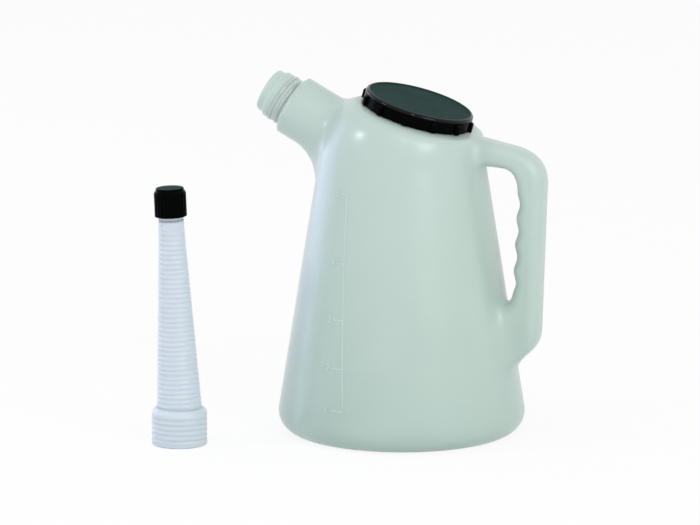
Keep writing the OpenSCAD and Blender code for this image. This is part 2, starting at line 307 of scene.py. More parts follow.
def threadTree():
    # A raised thread of round section; each end sinks into the wall over an eighth of a turn
    maker, size, material = shapeTree("thread", ["radius", "pitch", "turns", "bead", "sink"])
    spiral = maker.add("GeometryNodeCurveSpiral", None,
                       {"Resolution": 72, "Rotations": size["turns"], "Start Radius": size["radius"],
                        "End Radius": size["radius"], "Height": size["pitch"] * size["turns"]})
    share = Num(maker, maker.add("GeometryNodeSplineParameter").outputs["Factor"])
    run = size["turns"] * 8
    start = maker.math("MAXIMUM", 1 - share * run, 0)
    end = maker.math("MAXIMUM", 1 - (1 - share) * run, 0)
    at = maker.add("GeometryNodeInputPosition")
    flat = maker.add("ShaderNodeVectorMath", {"operation": "MULTIPLY"}, {0: at.outputs[0], 1: (-1, -1, 0)})
    pull = (start + end) * size["sink"] / size["radius"]
    offset = maker.add("ShaderNodeVectorMath", {"operation": "SCALE"}, {0: flat.outputs[0], "Scale": pull})
    sunk = maker.add("GeometryNodeSetPosition", None, {0: spiral.outputs[0], "Offset": offset.outputs[0]})
    section = maker.add("GeometryNodeCurvePrimitiveCircle", None, {"Resolution": 10, "Radius": size["bead"]})
    bead = maker.add("GeometryNodeCurveToMesh", None,
                     {"Curve": sunk.outputs[0], "Profile Curve": section.outputs[0], "Fill Caps": True})
    closeTree(maker, bead.outputs[0], material)
    return maker.tree


def corrugatedTree():
    # A tapering tube whose wall runs in and out in even rings, fading to a plain end
    maker, size, material = shapeTree("corrugated", ["footRadius", "tipRadius", "length", "pitch", "depth",
                                                     "plainEnd", "roundCount", "alongCount"])
    grid = maker.add("GeometryNodeMeshGrid", None,
                     {"Size X": 1, "Size Y": 1, "Vertices X": size["roundCount"],
                      "Vertices Y": size["alongCount"]})
    part = maker.add("ShaderNodeSeparateXYZ", None,
                     {0: maker.add("GeometryNodeInputPosition").outputs[0]})
    turn = (Num(maker, part.outputs[0]) + 0.5) * (2 * math.pi)
    height = (Num(maker, part.outputs[1]) + 0.5) * size["length"]
    wave = maker.math("COSINE", height / size["pitch"] * (2 * math.pi)) * 0.5 - 0.5
    fade = maker.math("MINIMUM", (size["length"] - height) / size["plainEnd"], 1)
    taper = size["footRadius"] + (size["tipRadius"] - size["footRadius"]) * height / size["length"]
    radius = taper + wave * size["depth"] * fade
    place = maker.num("ShaderNodeCombineXYZ", None,
                      {0: radius * maker.math("COSINE", turn), 1: radius * maker.math("SINE", turn),
                       2: height})
    shaped = maker.add("GeometryNodeSetPosition", None, {0: grid.outputs["Mesh"], "Position": place})
    seam = maker.add("GeometryNodeMergeByDistance", None, {0: shaped.outputs[0], "Distance": 0.001})
    closeTree(maker, seam.outputs[0], material)
    return maker.tree


# Finishes

def emptyMaterial(name):
    material = bpy.data.materials.new(name)
    material.use_nodes = True
    material.node_tree.nodes.clear()
    return material, Maker(material.node_tree)


def plasticMaterial(name, look):
    # Milky polyethylene: a little colour drift, painted shade that darkens the colour towards the bottom, fine
    # moulded grain and soft light inside the wall
    material, maker = emptyMaterial(name)
    objectAt = maker.add("ShaderNodeTexCoord").outputs["Object"]
    drift = maker.add("ShaderNodeTexNoise", {"noise_dimensions": "3D"},
                      {"Vector": objectAt, "Scale": look["driftScale"], "Detail": 2})
    height = maker.add("ShaderNodeSeparateXYZ", None, {0: objectAt}).outputs[2]
    # The colour darkens towards the bottom of the piece: painted shade
    rise = maker.num("ShaderNodeMapRange", {"clamp": True},
                     {0: height, 1: 0.0, 2: look["tall"] * mm, 3: 0.0, 4: 1.0})
    share = maker.num("ShaderNodeMath", {"operation": "ADD", "use_clamp": True},
                      {0: rise * 0.6, 1: Num(maker, drift.outputs[0]) * 0.5})
    ramp = maker.add("ShaderNodeValToRGB", {"stops": look["stops"]}, {0: share})
    grain = maker.add("ShaderNodeTexNoise", None,
                      {"Vector": objectAt, "Scale": look["grainScale"], "Detail": 3})
    waves = maker.add("ShaderNodeTexNoise", None,
                      {"Vector": objectAt, "Scale": look["waveScale"], "Detail": 1})
    grainBump = maker.add("ShaderNodeBump", None,
                          {"Strength": look["grain"], "Distance": 0.0002, "Height": grain.outputs[0]})
    waveBump = maker.add("ShaderNodeBump", None,
                         {"Strength": look["wave"], "Distance": 0.002, "Height": waves.outputs[0],
                          "Normal": grainBump.outputs[0]})
    rough = look["rough"] + (Num(maker, grain.outputs[0]) - 0.5) * 0.15
    shader = maker.add("ShaderNodeBsdfPrincipled", None,
                       {"Base Color": ramp.outputs[0], "Roughness": rough, "Normal": waveBump.outputs[0],
                        "IOR": 1.45, "Subsurface Weight": look["subsurface"],
                        "Subsurface Radius": look["reach"], "Subsurface Scale": 1.0,
                        "Specular IOR Level": look["specular"], "Coat Weight": look["coat"],
                        "Coat Roughness": 0.2})
    maker.add("ShaderNodeOutputMaterial", None, {0: shader.outputs[0]})
    return material


def darkMaterial(name, look):
    # Moulded dark plastic or rubber, with faint scuffs that change its gloss
    material, maker = emptyMaterial(name)
    objectAt = maker.add("ShaderNodeTexCoord").outputs["Object"]
    scuff = maker.add("ShaderNodeTexNoise", None, {"Vector": objectAt, "Scale": 60.0, "Detail": 6})
    grain = maker.add("ShaderNodeTexNoise", None, {"Vector": objectAt, "Scale": 1800.0, "Detail": 2})
    ramp = maker.add("ShaderNodeValToRGB", {"stops": look["stops"]}, {0: scuff.outputs[0]})
    bump = maker.add("ShaderNodeBump", None,
                     {"Strength": look["grain"], "Distance": 0.0002, "Height": grain.outputs[0]})
    rough = look["rough"] + (Num(maker, scuff.outputs[0]) - 0.5) * (look["rough"] * 0.5)
    shader = maker.add("ShaderNodeBsdfPrincipled", None,
                       {"Base Color": ramp.outputs[0], "Roughness": rough, "Normal": bump.outputs[0],
                        "Specular IOR Level": look["specular"]})
    maker.add("ShaderNodeOutputMaterial", None, {0: shader.outputs[0]})
    return material


# In the plastic ramps the low stops are darker: painted shade towards the bottom
looks = {
    "jug": {"driftScale": 9.0, "tall": 290, "grainScale": 900.0, "waveScale": 30.0, "grain": 0.10,
            "wave": 0.10, "rough": 0.3, "subsurface": 0.4, "reach": (0.004, 0.005, 0.0045),
            "specular": 0.5, "coat": 0.2,
            "stops": [(0.0, (0.35, 0.475, 0.43)), (0.5, (0.48, 0.605, 0.55)), (1.0, (0.505, 0.62, 0.575))]},
    # The scale's paler colours are a painted highlight: the marks are the jug's own plastic, made lighter so the
    # raised lines read pale
    "scale": {"driftScale": 9.0, "tall": 290, "grainScale": 900.0, "waveScale": 30.0, "grain": 0.05,
              "wave": 0.0, "rough": 0.35, "subsurface": 0.0, "reach": (0.004, 0.005, 0.0045),
              "specular": 0.4, "coat": 0.0,
              "stops": [(0.0, (0.50, 0.62, 0.59)), (0.5, (0.55, 0.665, 0.63)), (1.0, (0.58, 0.685, 0.66))]},
    "spout": {"driftScale": 14.0, "tall": 210, "grainScale": 1200.0, "waveScale": 40.0, "grain": 0.06,
              "wave": 0.05, "rough": 0.3, "subsurface": 0.6, "reach": (0.005, 0.005, 0.005),
              "specular": 0.4, "coat": 0.1,
              "stops": [(0.0, (0.61, 0.72, 0.80)), (0.5, (0.64, 0.73, 0.83)), (1.0, (0.63, 0.71, 0.82))]},
    "blackGloss": {"rough": 0.12, "grain": 0.02, "specular": 0.02,
                   "stops": [(0.3, (0.0005, 0.0009, 0.0008)), (0.7, (0.001, 0.0015, 0.0014))]},
    "blackEdge": {"rough": 0.12, "grain": 0.02, "specular": 0.18,
                  "stops": [(0.3, (0.0005, 0.0009, 0.0008)), (0.7, (0.001, 0.0015, 0.0014))]},
    # The satin black's green-grey colour is a painted reflection of the bright studio on the lid's and cap's tops;
    # its roughness and grain are the real satin finish
    "blackSatinPaintedReflection": {"rough": 0.5, "grain": 0.4, "specular": 0.02,
                   "stops": [(0.3, (0.006, 0.030, 0.027)), (0.7, (0.009, 0.036, 0.033))]},
    "rubber": {"rough": 0.6, "grain": 0.3, "specular": 0.2,
               "stops": [(0.3, (0.10, 0.10, 0.10)), (0.7, (0.13, 0.13, 0.13))]},
}
jugPlastic = plasticMaterial("jugPlastic", looks["jug"])
# The litre scale's material is a paler copy of the jug plastic: painted highlight on the raised marks
scalePlasticPaintedHighlight = plasticMaterial("scalePlasticPaintedHighlight", looks["scale"])
spoutPlastic = plasticMaterial("spoutPlastic", looks["spout"])
blackGloss = darkMaterial("blackGloss", looks["blackGloss"])
blackEdge = darkMaterial("blackEdge", looks["blackEdge"])
blackSatinPaintedReflection = darkMaterial("blackSatinPaintedReflection", looks["blackSatinPaintedReflection"])
sealRubber = darkMaterial("sealRubber", looks["rubber"])
print("finishes made")


# The jug's skin: distance fields of the body, the neck and the handle, blended where they meet

jug = {
    "bodyRadius": 102.8, "baseRound": 18, "wallLean": 9.1, "wallHeight": 234, "wall": 1.8,
    "ledgeRadius": 57, "mouthRadius": 42.2, "mouthHeight": 7.8,
    "cornerHigh": 18, "cornerIn": 14, "middleDrop": 6.5, "middleOut": 4, "middleShift": 0.57,
    "middleTilt": 0.62, "ledgeSpare": 3,
    "neckRadius": 25.8, "neckStraight": 17, "neckDeep": 60, "neckEdge": 1.5, "flareRound": 35,
    "bendPast": 5, "bendBlend": 7,
    "gripX": 125, "gripDepth": 22.2, "gripWidth": 27, "gripTop": 227, "gripFoot": 112, "gripLean": 4.2,
    "gripRound": 8.4, "fingerCount": 4, "fingerPitch": 22, "fingerDepth": 2.6, "fingerSteps": 8,
    "fingerDrop": 17.5, "fingerRise": 9, "rootOut": (46, -11), "rootIn": (50, 4),
    "footOut": (92, -51), "footIn": (76, -20), "curveSteps": 14,
    "neckBlend": 7, "rootBlend": 3, "gripBlend": 10, "footBlend": 16, "leastBlend": 0.5,
    "neckFade": (0.45, 1), "footFade": (110, 150), "rootFade": (232, 256), "leastSteep": 0.3,
    "cell": 2.7, "relaxRounds": 4, "netLow": (-128, -108, -4), "netHigh": (132, 108, 300), "rimThin": 0.9,
}
leanAngle = math.radians(jug["wallLean"])
roundX = jug["bodyRadius"] - jug["baseRound"]
mouthTilt = math.asin(mouthPlace.axis[0])
mouthX, ledgeZ = mouthPlace.origin[0], mouthPlace.origin[2]


def curve(a, b, c, t):
    return (1 - t) * (1 - t) * a + 2 * t * (1 - t) * b + t * t * c


def wallRadius(z, inset=0):
    startX = roundX + (jug["baseRound"] - inset) * math.cos(leanAngle)
    startZ = jug["baseRound"] + (jug["baseRound"] - inset) * math.sin(leanAngle)
    return startX - (z - startZ) * math.tan(leanAngle)


def shoulderRing(t):
    # Centre x, centre z, tilt and radius of the shoulder's ring at t, from 0 at the wall to 2 on the ledge
    top = jug["wallHeight"]
    low = (0, top, 0, wallRadius(top))
    corner = (mouthX / 6, top + jug["cornerHigh"], mouthTilt / 4, wallRadius(top + jug["cornerIn"]))
    middle = (mouthX * jug["middleShift"], ledgeZ - jug["middleDrop"], mouthTilt * jug["middleTilt"],
              jug["ledgeRadius"] + jug["middleOut"])
    edge = (mouthX, ledgeZ, mouthTilt, jug["ledgeRadius"])
    ledge = (mouthX, ledgeZ, mouthTilt, jug["mouthRadius"] + jug["ledgeSpare"])
    return [np.where(t < 1, curve(low[i], corner[i], middle[i], t),
                     curve(middle[i], edge[i], ledge[i], t - 1)) for i in range(4)]


def shoulderField(x, y, z):
    # The ring whose plane holds the point is found by halving
    low, high = np.zeros(np.broadcast(x, z).shape), np.full(np.broadcast(x, z).shape, 2.0)
    for _ in range(22):
        t = (low + high) / 2
        cx, cz, tilt, _radius = shoulderRing(t)
        above = (x - cx) * np.sin(tilt) + (z - cz) * np.cos(tilt) > 0
        low, high = np.where(above, t, low), np.where(above, high, t)
    cx, cz, tilt, radius = shoulderRing(t)
    nx, nz, _tilt, nextRadius = shoulderRing(t + 0.001)
    rise = (nx - cx) * np.sin(tilt) + (nz - cz) * np.cos(tilt)
    steep = rise / np.hypot(rise, nextRadius - radius)
    inPlane = (x - cx) * np.cos(tilt) - (z - cz) * np.sin(tilt)
    side = (np.hypot(inPlane, y) - radius) * np.clip(steep, jug["leastSteep"], 1)
    top = (x - mouthX) * math.sin(mouthTilt) + (z - ledgeZ) * math.cos(mouthTilt)
    return np.maximum(side, top)


def bodyField(x, y, z):
    r = np.hypot(x, y)
    qx, qz = r - roundX, z - jug["baseRound"]
    angle = np.arctan2(qz, qx)
    onEdge = (angle > -math.pi / 2) & (angle < leanAngle)
    cone = (r - wallRadius(z)) * math.cos(leanAngle)
    barrel = np.where(onEdge, np.hypot(qx, qz) - jug["baseRound"], np.maximum(cone, -z))
    return np.where(z < jug["wallHeight"], barrel, shoulderField(x, y, z))


def roundedMax(a, b, rounding):
    outside = np.hypot(np.maximum(a + rounding, 0), np.maximum(b + rounding, 0))
    return outside + np.minimum(np.maximum(a, b) + rounding, 0) - rounding


def smoothMin(a, b, blend):
    h = np.clip(0.5 + 0.5 * (b - a) / blend, 0, 1)
    return b * (1 - h) + a * h - blend * h * (1 - h)


def smoothStep(value, start, end):
    t = np.clip((value - start) / (end - start), 0, 1)
    return t * t * (3 - 2 * t)


def neckField(x, y, z):
    # The straight neck and the bend under it that turns down into the wall, with the share of the turn
    a, b, s = neckPlace.measure(x, y, z)
    radius, bendRadius = jug["neckRadius"], jug["neckRadius"] + jug["flareRound"]
    straight = roundedMax(np.hypot(a, b) - radius, s, jug["neckEdge"])
    straight = np.maximum(straight, -jug["neckStraight"] - jug["neckDeep"] - s)
    turn = math.pi / 2 - math.asin(neckPlace.axis[2]) + leanAngle
    turn += math.radians(jug["bendPast"])
    qa, qs = a + bendRadius, s + jug["neckStraight"]
    tube = np.hypot(np.hypot(qa, qs) - bendRadius, b) - radius
    end = -qa * math.sin(turn) - qs * math.cos(turn)
    bend = np.maximum(np.maximum(tube, qs), end)
    # Straight neck and bend blend more the further the bend has left the neck's line
    back = np.clip(-qs, 0, 0.93 * jug["flareRound"])
    drop = jug["flareRound"] - np.sqrt(jug["flareRound"] ** 2 - back ** 2)
    blend = np.clip(0.5 * drop, 0.05, jug["bendBlend"])
    return smoothMin(straight, bend, blend), np.arctan2(-qs, qa) / turn


def handleOutline():
    # The handle in side view, outside from top to foot and then inside back up; the bends' control
    # points are measured from the grip's edges, its top and its foot
    gripIn, top, foot = jug["gripX"] - jug["gripDepth"], jug["gripTop"], jug["gripFoot"]
    x, lean = jug["gripX"], jug["gripLean"]
    fingerTop, fingerLow = top - jug["fingerDrop"], foot + jug["fingerRise"]

    def bend(start, control, end):
        start, control, end = np.array(start), np.array(control), np.array(end)
        return [curve(start, control, end, t) for t in np.linspace(0, 1, jug["curveSteps"])]

    def near(key, height):
        return jug[key][0], jug[key][1] + height

    outside = [near("rootOut", ledgeZ)]
    outside += bend((x - 29, top + 19.2), (x + 1.5, top + 13.5), (x, fingerTop + 4))
    outside += bend((x - lean, foot - 20), (x - 5.5, foot - 39), near("footOut", foot))
    inside = [near("rootIn", top)]
    inside += bend((gripIn - 15, top + 1.2), (gripIn - 0.5, top + 1.2), (gripIn, fingerTop))
    for k in range(1, jug["fingerCount"] * jug["fingerSteps"]):
        down = k / jug["fingerSteps"] * jug["fingerPitch"]
        hollow = jug["fingerDepth"] * (1 - math.cos(2 * math.pi * k / jug["fingerSteps"])) / 2
        share = down / (fingerTop - fingerLow)
        inside.append((gripIn - lean * share + hollow, fingerTop - down))
    inside += bend((gripIn - lean, fingerLow), (gripIn - 8, foot - 2), near("footIn", foot))
    return np.array([tuple(p) for p in outside + inside[::-1]], float)


handleSide = handleOutline()


def outlineDistance(x, z):
    # Signed distance to the handle's side view, negative inside
    shape = np.broadcast(x, z).shape
    px, pz = np.broadcast_to(x, shape).ravel(), np.broadcast_to(z, shape).ravel()
    found = np.empty(px.size)
    start, end = handleSide, np.roll(handleSide, -1, axis=0)
    ex, ez = (end - start).T
    for k in range(0, px.size, 20000):
        x0, z0 = px[k:k + 20000, None] - start[:, 0], pz[k:k + 20000, None] - start[:, 1]
        t = np.clip((x0 * ex + z0 * ez) / (ex * ex + ez * ez), 0, 1)
        near = np.min((x0 - t * ex) ** 2 + (z0 - t * ez) ** 2, axis=1)
        spans = (z0 < 0) != (z0 - ez < 0)
        crossing = spans & ((x0 * ez - z0 * ex > 0) ^ (ez < 0))
        odd = np.sum(crossing, axis=1) % 2
        found[k:k + 20000] = np.sqrt(near) * np.where(odd, -1, 1)
    return found.reshape(shape)


def jugField(x, y, z):
    # The blends fade along the neck's turn and, for the handle, with height
    body = bodyField(x, y, z)
    neck, turned = neckField(x, y, z)
    blend = jug["leastBlend"] + jug["neckBlend"] * (1 - smoothStep(turned, *jug["neckFade"]))
    skin = smoothMin(body, neck, blend)
    flat = outlineDistance(x, z)
    handle = roundedMax(flat, np.abs(y) - jug["gripWidth"] / 2, jug["gripRound"])
    blend = jug["footBlend"] + (jug["gripBlend"] - jug["footBlend"]) * smoothStep(z, *jug["footFade"])
    blend = blend + (jug["rootBlend"] - blend) * smoothStep(z, *jug["rootFade"])
    return smoothMin(skin, handle, blend)


def fieldNormal(points, reach=0.15):
    slopes = []
    for axis in range(3):
        step = np.zeros(3)
        step[axis] = reach
        slopes.append(jugField(*(points + step).T) - jugField(*(points - step).T))
    slopes = np.array(slopes).T / (2 * reach)
    return slopes / np.maximum(np.linalg.norm(slopes, axis=1, keepdims=True), 1e-6), slopes


def surfaceNet(field, low, high, cell):
    # One point in each cell that the surface passes through, and a quad across each edge it cuts
    lines = [np.arange(a, b + cell, cell) for a, b in zip(low, high)]
    values = field(lines[0][:, None, None], lines[1][None, :, None], lines[2][None, None, :])
    inside = values < 0
    shape = np.array(inside.shape) - 1
    corners = [(i, j, k) for i in (0, 1) for j in (0, 1) for k in (0, 1)]
    cut = [inside[i:shape[0] + i, j:shape[1] + j, k:shape[2] + k] for i, j, k in corners]
    count = sum(c.astype(int) for c in cut)
    active = (count > 0) & (count < 8)
    cells = np.argwhere(active)
    number = np.full(active.shape, -1)
    number[active] = np.arange(len(cells))
    total, hits = np.zeros((len(cells), 3)), np.zeros((len(cells), 1))
    for corner in corners:
        for axis in range(3):
            if corner[axis]:
                continue
            first = cells + corner
            second = first + np.eye(3, dtype=int)[axis]
            a, b = values[tuple(first.T)], values[tuple(second.T)]
            crosses = (a < 0) != (b < 0)
            t = np.where(crosses, a / np.where(crosses, a - b, 1), 0)
            total += np.where(crosses[:, None], first + t[:, None] * np.eye(3)[axis], 0)
            hits += crosses[:, None]
    points = np.array([line[0] for line in lines]) + cell * total / hits
    faces = []
    for axis in range(3):
        order = [axis, (axis + 1) % 3, (axis + 2) % 3]
        side, cellNumber = inside.transpose(order), number.transpose(order)
        before, after = side[:-1, 1:-1, 1:-1], side[1:, 1:-1, 1:-1]
        quad = np.stack([cellNumber[:, :-1, :-1], cellNumber[:, 1:, :-1],
                         cellNumber[:, 1:, 1:], cellNumber[:, :-1, 1:]], -1)
        faces.append(quad[before & ~after])
        faces.append(quad[~before & after][:, ::-1])
    return points, np.vstack(faces)


def faceEdges(faces):
    return np.vstack([faces[:, [i, (i + 1) % 4]] for i in range(4)])


def settle(points, faces):
    # Evens out the net and draws it onto the surface
    edges = faceEdges(faces)
    for k in range(jug["relaxRounds"] + 1):
        total, hits = np.zeros_like(points), np.zeros(len(points))
        np.add.at(total, edges[:, 0], points[edges[:, 1]])
        np.add.at(hits, edges[:, 0], 1)
        if k < jug["relaxRounds"]:
            points = points * 0.4 + 0.6 * total / hits[:, None]
        for _ in range(2):
            normal, slopes = fieldNormal(points)
            steep = np.maximum(np.linalg.norm(slopes, axis=1), jug["leastSteep"])
            points = points - normal * (jugField(*points.T) / steep)[:, None]
    return points


def cutOpening(points, faces, place, radius, reach):
    # Takes out the faces inside a circle and draws the rim of the hole onto it
    across, side, height = place.measure(*points.T)
    away = np.hypot(across, side)
    inside = (away < radius) & (np.abs(height) < reach)
    faces = faces[~inside[faces].all(1)]
    edges = np.sort(faceEdges(faces), axis=1)
    found, times = np.unique(edges, axis=0, return_counts=True)
    rim = np.unique(found[times == 1])
    rim = rim[np.abs(away[rim] - radius) < 3 * jug["cell"]]
    rim = rim[np.abs(height[rim]) < reach]
    flat = np.stack([across[rim], side[rim]], -1)
    flat *= (radius / away[rim])[:, None]
    points = points.copy()
    points[rim] = place.put(np.column_stack([flat, height[rim]]))
    return points, faces


def jugSkin():
    points, faces = surfaceNet(jugField, jug["netLow"], jug["netHigh"], jug["cell"])
    print("jug net:", len(points), "points")
    points = settle(points, faces)
    points[:, 2] = np.maximum(points[:, 2], 0)
    points, faces = cutOpening(points, faces, mouthPlace, jug["mouthRadius"] - jug["rimThin"], 5)
    points, faces = cutOpening(points, faces, neckPlace, neck["threadRoot"] - jug["rimThin"], 3)
    used, small = np.unique(faces, return_inverse=True)
    points, faces = points[used], small.reshape(faces.shape)
    normal, _slopes = fieldNormal(points)
    count = len(points)
    edges = faceEdges(faces)
    keys = np.sort(edges, axis=1)
    _found, where, times = np.unique(keys, axis=0, return_index=True, return_counts=True)
    rim = edges[where[times == 1]]
    walls = np.column_stack([rim[:, 1], rim[:, 0], rim[:, 0] + count, rim[:, 1] + count])
    allPoints = np.vstack([points, points - normal * jug["wall"]])
    allFaces = np.vstack([faces, faces[:, ::-1] + count, walls])
    return allPoints, allFaces.tolist()


# The mouth, the pouring neck and the litre scale

neck = {"threadRoot": 20.6, "threadLong": 17, "lipRadius": 18.6, "lipLong": 8, "bore": 15.6,
        "edge": 0.8, "lipEdge": 2.2, "pitch": 6.0, "turns": 1.6, "bead": 2.4, "proud": 0.7, "start": 2.4}
mouth = {"edge": 0.8, "sunk": 0.4, "pitch": 3.4, "turns": 1.4, "bead": 1.2, "proud": 0.8, "start": 1.6}


def threadPart(place, sizes, radius):
    values = {"radius": radius - sizes["bead"] + sizes["proud"], "pitch": sizes["pitch"],
              "turns": sizes["turns"], "bead": sizes["bead"], "sink": sizes["proud"] + 0.5}
    points, faces = bakeTree(threadShape, values, jugPlastic)
    points[:, 2] += sizes["start"]
    return place.put(points), faces


def mouthParts():
    outer, inner, top = jug["mouthRadius"], jug["mouthRadius"] - jug["wall"], jug["mouthHeight"]
    low, edge = -jug["wall"] - mouth["sunk"], mouth["edge"]
    ring = roundCorners([(outer, low, 0), (outer, top, edge), (inner, top, edge), (inner, low, 0)])
    return [revolve(ring, mouthPlace), threadPart(mouthPlace, mouth, outer)]


def neckParts():
    root, lip, bore, edge = neck["threadRoot"], neck["lipRadius"], neck["bore"], neck["edge"]
    step, end = neck["threadLong"], neck["threadLong"] + neck["lipLong"]
    low = -jug["wall"]
    ring = roundCorners([(root, low, 0), (root, 0.4, 0), (root, step, edge),
                         (lip + 0.5, step + 1.4, 0.6), (lip, step + 3, edge),
                         (lip - 0.3, end, neck["lipEdge"]), (bore, end, edge), (bore, low, 0)])
    return [revolve(ring, neckPlace), threadPart(neckPlace, neck, root)]


scale = {"count": 5, "lineWide": 1.1, "lineHigh": 0.25, "lineSteps": 40, "markLow": 13, "markHigh": 6,
         "markSteps": 8, "turnLow": -100, "turnHigh": -110, "numeralSize": 8.0, "numeralGap": 1.5,
         "numeralHigh": 0.25, "numeralEdge": 0.12, "sunk": 0.4}


def litres(z):
    low, high, edge = wallRadius(0, jug["wall"]), wallRadius(z, jug["wall"]), jug["baseRound"] - jug["wall"]
    cone = math.pi * (z - jug["wall"]) * (low * low + low * high + high * high) / 3
    return (cone - (1 - math.pi / 4) * edge * edge * 2 * math.pi * (low - edge / 4)) / 1e6


def levelOf(volume):
    low, high = 0, jug["wallHeight"]
    for _ in range(24):
        middle = (low + high) / 2
        low, high = (middle, high) if litres(middle) < volume else (low, middle)
    return low


def upScale(z, name):
    # A value that goes evenly from its Low at the first mark to its High at the last
    low, high = levelOf(1), levelOf(scale["count"])
    return scale[name + "Low"] + (scale[name + "High"] - scale[name + "Low"]) * (z - low) / (high - low)


def onWall(turn, z, out=0.0):
    # A point on the wall with its outward and sideways directions
    turn = math.radians(turn)
    outward = np.array([math.cos(turn) * math.cos(leanAngle), math.sin(turn) * math.cos(leanAngle),
                        math.sin(leanAngle)])
    sideways = np.array([-math.sin(turn), math.cos(turn), 0])
    at = np.array([wallRadius(z) * math.cos(turn), wallRadius(z) * math.sin(turn), z])
    return at + outward * out, outward, sideways


def beadPart(stations):
    # A raised line of half round section through (point, outward, crossways) stations
    sides = 10
    points = []
    for at, outward, crossways in stations:
        for i in range(sides):
            turn = 2 * math.pi * i / sides
            points.append(at + crossways * scale["lineWide"] / 2 * math.cos(turn)
                          + outward * scale["lineHigh"] * math.sin(turn))
    faces = ringFaces(len(stations), sides)
    faces.append(list(range(sides))[::-1])
    faces.append([(len(stations) - 1) * sides + i for i in range(sides)])
    return np.array(points), faces


def numeralPart(number, z):
    text = bpy.data.curves.new("numeral", "FONT")
    text.body = str(number)
    text.size = scale["numeralSize"]
    text.extrude = (scale["numeralHigh"] + scale["sunk"]) / 2
    text.bevel_depth = scale["numeralEdge"]
    text.align_x = "RIGHT"
    text.align_y = "CENTER"
    holder = bpy.data.objects.new("numeral", text)
    bpy.context.scene.collection.objects.link(holder)
    flat, faces = bakeObject(holder)
    points = []
    for x, y, lift in flat:
        along = x - upScale(z, "mark") - scale["numeralGap"]
        up = z + y * math.cos(leanAngle)
        turn = upScale(z, "turn") + math.degrees(along / wallRadius(up))
        points.append(onWall(turn, up, lift + (scale["numeralHigh"] - scale["sunk"]) / 2)[0])
    return np.array(points), faces


def scaleParts():
    parts = []
    low, high = levelOf(1), levelOf(scale["count"])
    line = []
    for z in np.linspace(low, high, scale["lineSteps"]):
        at, outward, sideways = onWall(upScale(z, "turn"), z)
        line.append((at, outward, -sideways))
    parts.append(beadPart(line))
    for number in range(1, scale["count"] + 1):
        z = levelOf(number)
        mark = []
        for along in np.linspace(-upScale(z, "mark"), 0, scale["markSteps"]):
            at, outward, sideways = onWall(upScale(z, "turn") + math.degrees(along / wallRadius(z)), z)
            mark.append((at, outward, np.cross(outward, sideways)))
        parts.append(beadPart(mark))
        parts.append(numeralPart(number, z))
    return parts


threadShape = threadTree()
addPiece("jug", [jugSkin()] + mouthParts() + neckParts(), [jugPlastic], "jug", ["jug_body"])
addPiece("litreScale", scaleParts(), [scalePlasticPaintedHighlight], "jug")


# The lid: a turned shell with a rounded edge, and grip lugs round its skirt

lid = {"inner": 43.4, "wall": 2.6, "low": 0.8, "panelLow": 9.6, "panel": 2.8, "recess": 0.6,
       "rimWide": 4.0, "rimSlope": 1.2, "edge": 2.5, "innerEdge": 0.6, "lowEdge": 0.5, "rimEdge": 1.0,
       "lugCount": 12, "lugWide": 5.0, "lugOut": 2.3, "lugDrop": 3.2, "lugSlope": 0.7, "lugTurn": 6,
       "lugRound": 0.6}
blockRing = blockRingTree()


def blockPart(place, values, rounding, segments):
    bevel = {"width": rounding, "segments": segments, "limit_method": "ANGLE"}
    points, faces = bakeTree(blockRing, values, blackGloss, [("BEVEL", bevel)])
    return place.put(points), faces


def lidParts():
    outer = lid["inner"] + lid["wall"]
    top = lid["panelLow"] + lid["panel"] + lid["recess"]
    rim, rimEdge, lowEdge = outer - lid["rimWide"], lid["rimEdge"], lid["lowEdge"]
    side = roundCorners([(0, lid["panelLow"], 0), (lid["inner"], lid["panelLow"], lid["innerEdge"]),
                         (lid["inner"], lid["low"], lowEdge), (outer, lid["low"], lowEdge),
                         (outer, top, lid["edge"]), (rim, top, rimEdge),
                         (rim - lid["rimSlope"], top - lid["recess"], rimEdge),
                         (0, top - lid["recess"], 0)], closed=False)
    reach = lid["lugOut"] + lid["wall"] / 2
    values = {"blockCount": lid["lugCount"], "radius": outer - lid["wall"] / 2 + reach / 2,
              "width": lid["lugWide"], "depth": reach, "low": lid["low"], "high": top - lid["lugDrop"],
              "slope": lid["lugOut"] * lid["lugSlope"], "phase": math.radians(lid["lugTurn"])}
    return [revolveDisc(side, mouthPlace), blockPart(mouthPlace, values, lid["lugRound"], 3)]


def lidFinish(centre):
    # The sunk top is satin with a painted greenish reflection in its colour, the rounded edge catches the light
    # and the rest is gloss
    across, side, height = mouthPlace.measure(*centre)
    away = math.hypot(across, side)
    if height > lid["panelLow"] + lid["panel"] - 0.5 and away < lid["inner"] - 0.5:
        return 1
    return 2 if height > lid["panelLow"] + lid["panel"] + lid["recess"] - lid["edge"] else 0


addPiece("lid", lidParts(), [blackGloss, blackSatinPaintedReflection, blackEdge], "lid", ["lid"], lidFinish)


# The flexible spout: screw collar, corrugated tube and plain tip

spout = {"collarInner": 21.8, "wall": 1.3, "collarHigh": 25, "bandStart": 3, "bandPitch": 4.2,
         "bandDepth": 0.5, "bandStep": 0.42, "dome": 6.5, "domeIn": 2, "domeTurn": 74, "domeSteps": 9,
         "footRadius": 18.8, "tipRadius": 10.4, "tubeLong": 159.2, "pitch": 4.0, "depth": 0.55,
         "plainEnd": 22, "ringSteps": 8, "roundCount": 97, "sunk": 1.5, "tipLong": 21.2, "tipSunk": 3,
         "tipThin": 0.8}


